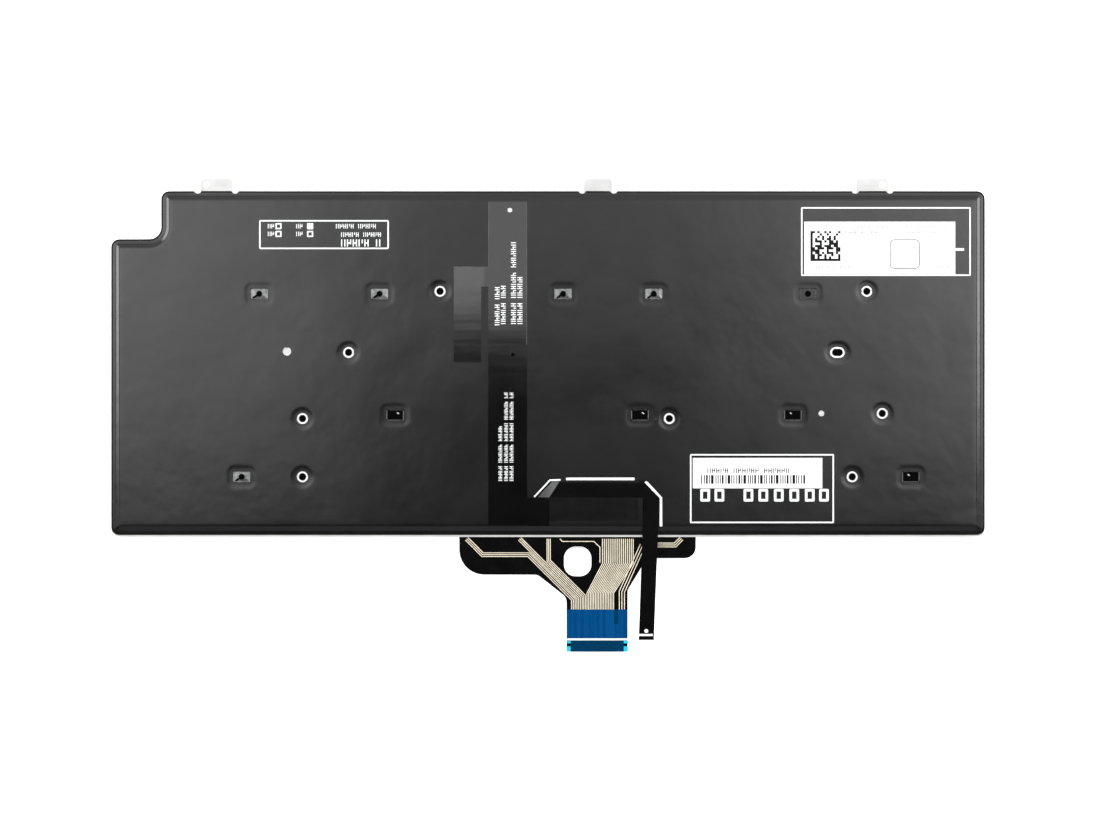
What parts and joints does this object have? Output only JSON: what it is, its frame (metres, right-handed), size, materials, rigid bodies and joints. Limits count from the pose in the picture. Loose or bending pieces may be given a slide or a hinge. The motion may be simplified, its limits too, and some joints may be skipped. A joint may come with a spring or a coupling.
{
  "type": "laptop replacement keyboard",
  "caption": "Flat laptop keyboard module lying keys down: steel plate with tabs and a corner notch, black back film, spring keys, light strip and two ribbon tails.",
  "frame": {"origin": "under the middle of the whole part, on the plane of the key tops that it lies on", "axes": "+X along the key rows, towards the escape key; +Y towards the function row; +Z out of the back"},
  "size_m": [0.2708, 0.1466, 0.0055],
  "materials": {
    "film": "satin black film",
    "guide": "milky light guide",
    "plate": "bright stamped steel",
    "sheet": "black film with printed conductors",
    "stiffener": "blue stiffener",
    "strip": "glossy black circuit",
    "lamp": "light chip",
    "tape": "black tape",
    "label": "white label stock",
    "keycap": "fine matt texture",
    "dome": "milky silicone",
    "link": "moulded nylon",
    "wire": "drawn wire"
  },
  "bodies": {
    "board": {"back_film": "film", "base_plate": "plate", "blank_labels": "label", "border_keycaps": "keycap", "fixing_tape": "tape", "lamps": "lamp", "light_guide": "guide", "light_strip": "strip", "rubber_domes": "dome", "scissor_links": "link", "stabiliser_wires": "wire", "switch_sheet": "sheet", "tail_stiffener": "stiffener"},
    "key_0": {"key_0": "keycap"},
    "key_1": {"key_1": "keycap"},
    "key_2": {"key_2": "keycap"},
    "key_3": {"key_3": "keycap"},
    "key_4": {"key_4": "keycap"},
    "key_5": {"key_5": "keycap"},
    "key_6": {"key_6": "keycap"},
    "key_7": {"key_7": "keycap"},
    "key_8": {"key_8": "keycap"},
    "key_9": {"key_9": "keycap"},
    "key_a": {"key_a": "keycap"},
    "key_b": {"key_b": "keycap"},
    "key_c": {"key_c": "keycap"},
    "key_comma": {"key_comma": "keycap"},
    "key_d": {"key_d": "keycap"},
    "key_e": {"key_e": "keycap"},
    "key_equals": {"key_equals": "keycap"},
    "key_f": {"key_f": "keycap"},
    "key_g": {"key_g": "keycap"},
    "key_h": {"key_h": "keycap"},
    "key_i": {"key_i": "keycap"},
    "key_j": {"key_j": "keycap"},
    "key_k": {"key_k": "keycap"},
    "key_l": {"key_l": "keycap"},
    "key_left_bracket": {"key_left_bracket": "keycap"},
    "key_m": {"key_m": "keycap"},
    "key_minus": {"key_minus": "keycap"},
    "key_n": {"key_n": "keycap"},
    "key_o": {"key_o": "keycap"},
    "key_p": {"key_p": "keycap"},
    "key_period": {"key_period": "keycap"},
    "key_q": {"key_q": "keycap"},
    "key_quote": {"key_quote": "keycap"},
    "key_r": {"key_r": "keycap"},
    "key_right_bracket": {"key_right_bracket": "keycap"},
    "key_s": {"key_s": "keycap"},
    "key_semicolon": {"key_semicolon": "keycap"},
    "key_slash": {"key_slash": "keycap"},
    "key_t": {"key_t": "keycap"},
    "key_u": {"key_u": "keycap"},
    "key_v": {"key_v": "keycap"},
    "key_w": {"key_w": "keycap"},
    "key_x": {"key_x": "keycap"},
    "key_y": {"key_y": "keycap"},
    "key_z": {"key_z": "keycap"},
    "space_bar": {"space_bar": "keycap"},
    "space_bar_wire": {"space_bar_wire": "wire"}
  },
  "joints": [
    {"name": "key_0_press", "type": "slide", "parent": "board", "child": "key_0", "axis": [0, 0, 1], "range_m": [0, 0.0015], "stiffness_N_per_m": 250, "springref_m": -0.001, "deforming": ["rubber_domes", "scissor_links"]},
    {"name": "key_1_press", "type": "slide", "parent": "board", "child": "key_1", "axis": [0, 0, 1], "range_m": [0, 0.0015], "stiffness_N_per_m": 250, "springref_m": -0.001, "deforming": ["rubber_domes", "scissor_links"]},
    {"name": "key_2_press", "type": "slide", "parent": "board", "child": "key_2", "axis": [0, 0, 1], "range_m": [0, 0.0015], "stiffness_N_per_m": 250, "springref_m": -0.001, "deforming": ["rubber_domes", "scissor_links"]},
    {"name": "key_3_press", "type": "slide", "parent": "board", "child": "key_3", "axis": [0, 0, 1], "range_m": [0, 0.0015], "stiffness_N_per_m": 250, "springref_m": -0.001, "deforming": ["rubber_domes", "scissor_links"]},
    {"name": "key_4_press", "type": "slide", "parent": "board", "child": "key_4", "axis": [0, 0, 1], "range_m": [0, 0.0015], "stiffness_N_per_m": 250, "springref_m": -0.001, "deforming": ["rubber_domes", "scissor_links"]},
    {"name": "key_5_press", "type": "slide", "parent": "board", "child": "key_5", "axis": [0, 0, 1], "range_m": [0, 0.0015], "stiffness_N_per_m": 250, "springref_m": -0.001, "deforming": ["rubber_domes", "scissor_links"]},
    {"name": "key_6_press", "type": "slide", "parent": "board", "child": "key_6", "axis": [0, 0, 1], "range_m": [0, 0.0015], "stiffness_N_per_m": 250, "springref_m": -0.001, "deforming": ["rubber_domes", "scissor_links"]},
    {"name": "key_7_press", "type": "slide", "parent": "board", "child": "key_7", "axis": [0, 0, 1], "range_m": [0, 0.0015], "stiffness_N_per_m": 250, "springref_m": -0.001, "deforming": ["rubber_domes", "scissor_links"]},
    {"name": "key_8_press", "type": "slide", "parent": "board", "child": "key_8", "axis": [0, 0, 1], "range_m": [0, 0.0015], "stiffness_N_per_m": 250, "springref_m": -0.001, "deforming": ["rubber_domes", "scissor_links"]},
    {"name": "key_9_press", "type": "slide", "parent": "board", "child": "key_9", "axis": [0, 0, 1], "range_m": [0, 0.0015], "stiffness_N_per_m": 250, "springref_m": -0.001, "deforming": ["rubber_domes", "scissor_links"]},
    {"name": "key_a_press", "type": "slide", "parent": "board", "child": "key_a", "axis": [0, 0, 1], "range_m": [0, 0.0015], "stiffness_N_per_m": 250, "springref_m": -0.001, "deforming": ["rubber_domes", "scissor_links"]},
    {"name": "key_b_press", "type": "slide", "parent": "board", "child": "key_b", "axis": [0, 0, 1], "range_m": [0, 0.0015], "stiffness_N_per_m": 250, "springref_m": -0.001, "deforming": ["rubber_domes", "scissor_links"]},
    {"name": "key_c_press", "type": "slide", "parent": "board", "child": "key_c", "axis": [0, 0, 1], "range_m": [0, 0.0015], "stiffness_N_per_m": 250, "springref_m": -0.001, "deforming": ["rubber_domes", "scissor_links"]},
    {"name": "key_comma_press", "type": "slide", "parent": "board", "child": "key_comma", "axis": [0, 0, 1], "range_m": [0, 0.0015], "stiffness_N_per_m": 250, "springref_m": -0.001, "deforming": ["rubber_domes", "scissor_links"]},
    {"name": "key_d_press", "type": "slide", "parent": "board", "child": "key_d", "axis": [0, 0, 1], "range_m": [0, 0.0015], "stiffness_N_per_m": 250, "springref_m": -0.001, "deforming": ["rubber_domes", "scissor_links"]},
    {"name": "key_e_press", "type": "slide", "parent": "board", "child": "key_e", "axis": [0, 0, 1], "range_m": [0, 0.0015], "stiffness_N_per_m": 250, "springref_m": -0.001, "deforming": ["rubber_domes", "scissor_links"]},
    {"name": "key_equals_press", "type": "slide", "parent": "board", "child": "key_equals", "axis": [0, 0, 1], "range_m": [0, 0.0015], "stiffness_N_per_m": 250, "springref_m": -0.001, "deforming": ["rubber_domes", "scissor_links"]},
    {"name": "key_f_press", "type": "slide", "parent": "board", "child": "key_f", "axis": [0, 0, 1], "range_m": [0, 0.0015], "stiffness_N_per_m": 250, "springref_m": -0.001, "deforming": ["rubber_domes", "scissor_links"]},
    {"name": "key_g_press", "type": "slide", "parent": "board", "child": "key_g", "axis": [0, 0, 1], "range_m": [0, 0.0015], "stiffness_N_per_m": 250, "springref_m": -0.001, "deforming": ["rubber_domes", "scissor_links"]},
    {"name": "key_h_press", "type": "slide", "parent": "board", "child": "key_h", "axis": [0, 0, 1], "range_m": [0, 0.0015], "stiffness_N_per_m": 250, "springref_m": -0.001, "deforming": ["rubber_domes", "scissor_links"]},
    {"name": "key_i_press", "type": "slide", "parent": "board", "child": "key_i", "axis": [0, 0, 1], "range_m": [0, 0.0015], "stiffness_N_per_m": 250, "springref_m": -0.001, "deforming": ["rubber_domes", "scissor_links"]},
    {"name": "key_j_press", "type": "slide", "parent": "board", "child": "key_j", "axis": [0, 0, 1], "range_m": [0, 0.0015], "stiffness_N_per_m": 250, "springref_m": -0.001, "deforming": ["rubber_domes", "scissor_links"]},
    {"name": "key_k_press", "type": "slide", "parent": "board", "child": "key_k", "axis": [0, 0, 1], "range_m": [0, 0.0015], "stiffness_N_per_m": 250, "springref_m": -0.001, "deforming": ["rubber_domes", "scissor_links"]},
    {"name": "key_l_press", "type": "slide", "parent": "board", "child": "key_l", "axis": [0, 0, 1], "range_m": [0, 0.0015], "stiffness_N_per_m": 250, "springref_m": -0.001, "deforming": ["rubber_domes", "scissor_links"]},
    {"name": "key_left_bracket_press", "type": "slide", "parent": "board", "child": "key_left_bracket", "axis": [0, 0, 1], "range_m": [0, 0.0015], "stiffness_N_per_m": 250, "springref_m": -0.001, "deforming": ["rubber_domes", "scissor_links"]},
    {"name": "key_m_press", "type": "slide", "parent": "board", "child": "key_m", "axis": [0, 0, 1], "range_m": [0, 0.0015], "stiffness_N_per_m": 250, "springref_m": -0.001, "deforming": ["rubber_domes", "scissor_links"]},
    {"name": "key_minus_press", "type": "slide", "parent": "board", "child": "key_minus", "axis": [0, 0, 1], "range_m": [0, 0.0015], "stiffness_N_per_m": 250, "springref_m": -0.001, "deforming": ["rubber_domes", "scissor_links"]},
    {"name": "key_n_press", "type": "slide", "parent": "board", "child": "key_n", "axis": [0, 0, 1], "range_m": [0, 0.0015], "stiffness_N_per_m": 250, "springref_m": -0.001, "deforming": ["rubber_domes", "scissor_links"]},
    {"name": "key_o_press", "type": "slide", "parent": "board", "child": "key_o", "axis": [0, 0, 1], "range_m": [0, 0.0015], "stiffness_N_per_m": 250, "springref_m": -0.001, "deforming": ["rubber_domes", "scissor_links"]},
    {"name": "key_p_press", "type": "slide", "parent": "board", "child": "key_p", "axis": [0, 0, 1], "range_m": [0, 0.0015], "stiffness_N_per_m": 250, "springref_m": -0.001, "deforming": ["rubber_domes", "scissor_links"]},
    {"name": "key_period_press", "type": "slide", "parent": "board", "child": "key_period", "axis": [0, 0, 1], "range_m": [0, 0.0015], "stiffness_N_per_m": 250, "springref_m": -0.001, "deforming": ["rubber_domes", "scissor_links"]},
    {"name": "key_q_press", "type": "slide", "parent": "board", "child": "key_q", "axis": [0, 0, 1], "range_m": [0, 0.0015], "stiffness_N_per_m": 250, "springref_m": -0.001, "deforming": ["rubber_domes", "scissor_links"]},
    {"name": "key_quote_press", "type": "slide", "parent": "board", "child": "key_quote", "axis": [0, 0, 1], "range_m": [0, 0.0015], "stiffness_N_per_m": 250, "springref_m": -0.001, "deforming": ["rubber_domes", "scissor_links"]},
    {"name": "key_r_press", "type": "slide", "parent": "board", "child": "key_r", "axis": [0, 0, 1], "range_m": [0, 0.0015], "stiffness_N_per_m": 250, "springref_m": -0.001, "deforming": ["rubber_domes", "scissor_links"]},
    {"name": "key_right_bracket_press", "type": "slide", "parent": "board", "child": "key_right_bracket", "axis": [0, 0, 1], "range_m": [0, 0.0015], "stiffness_N_per_m": 250, "springref_m": -0.001, "deforming": ["rubber_domes", "scissor_links"]},
    {"name": "key_s_press", "type": "slide", "parent": "board", "child": "key_s", "axis": [0, 0, 1], "range_m": [0, 0.0015], "stiffness_N_per_m": 250, "springref_m": -0.001, "deforming": ["rubber_domes", "scissor_links"]},
    {"name": "key_semicolon_press", "type": "slide", "parent": "board", "child": "key_semicolon", "axis": [0, 0, 1], "range_m": [0, 0.0015], "stiffness_N_per_m": 250, "springref_m": -0.001, "deforming": ["rubber_domes", "scissor_links"]},
    {"name": "key_slash_press", "type": "slide", "parent": "board", "child": "key_slash", "axis": [0, 0, 1], "range_m": [0, 0.0015], "stiffness_N_per_m": 250, "springref_m": -0.001, "deforming": ["rubber_domes", "scissor_links"]},
    {"name": "key_t_press", "type": "slide", "parent": "board", "child": "key_t", "axis": [0, 0, 1], "range_m": [0, 0.0015], "stiffness_N_per_m": 250, "springref_m": -0.001, "deforming": ["rubber_domes", "scissor_links"]},
    {"name": "key_u_press", "type": "slide", "parent": "board", "child": "key_u", "axis": [0, 0, 1], "range_m": [0, 0.0015], "stiffness_N_per_m": 250, "springref_m": -0.001, "deforming": ["rubber_domes", "scissor_links"]},
    {"name": "key_v_press", "type": "slide", "parent": "board", "child": "key_v", "axis": [0, 0, 1], "range_m": [0, 0.0015], "stiffness_N_per_m": 250, "springref_m": -0.001, "deforming": ["rubber_domes", "scissor_links"]},
    {"name": "key_w_press", "type": "slide", "parent": "board", "child": "key_w", "axis": [0, 0, 1], "range_m": [0, 0.0015], "stiffness_N_per_m": 250, "springref_m": -0.001, "deforming": ["rubber_domes", "scissor_links"]},
    {"name": "key_x_press", "type": "slide", "parent": "board", "child": "key_x", "axis": [0, 0, 1], "range_m": [0, 0.0015], "stiffness_N_per_m": 250, "springref_m": -0.001, "deforming": ["rubber_domes", "scissor_links"]},
    {"name": "key_y_press", "type": "slide", "parent": "board", "child": "key_y", "axis": [0, 0, 1], "range_m": [0, 0.0015], "stiffness_N_per_m": 250, "springref_m": -0.001, "deforming": ["rubber_domes", "scissor_links"]},
    {"name": "key_z_press", "type": "slide", "parent": "board", "child": "key_z", "axis": [0, 0, 1], "range_m": [0, 0.0015], "stiffness_N_per_m": 250, "springref_m": -0.001, "deforming": ["rubber_domes", "scissor_links"]},
    {"name": "space_bar_press", "type": "slide", "parent": "board", "child": "space_bar", "axis": [0, 0, 1], "range_m": [0, 0.0015], "stiffness_N_per_m": 250, "springref_m": -0.001, "deforming": ["rubber_domes", "scissor_links"]},
    {"name": "space_bar_wire_turn", "type": "hinge", "parent": "board", "child": "space_bar_wire", "pos_m": [0, -0.01985, 0.00325], "axis": [-1, 0, 0], "range_deg": [0, 7.23]}
  ],
  "couplings": [
    {"joint": "space_bar_wire_turn", "follows": "space_bar_press", "rad_per_m": 83.85}
  ]
}
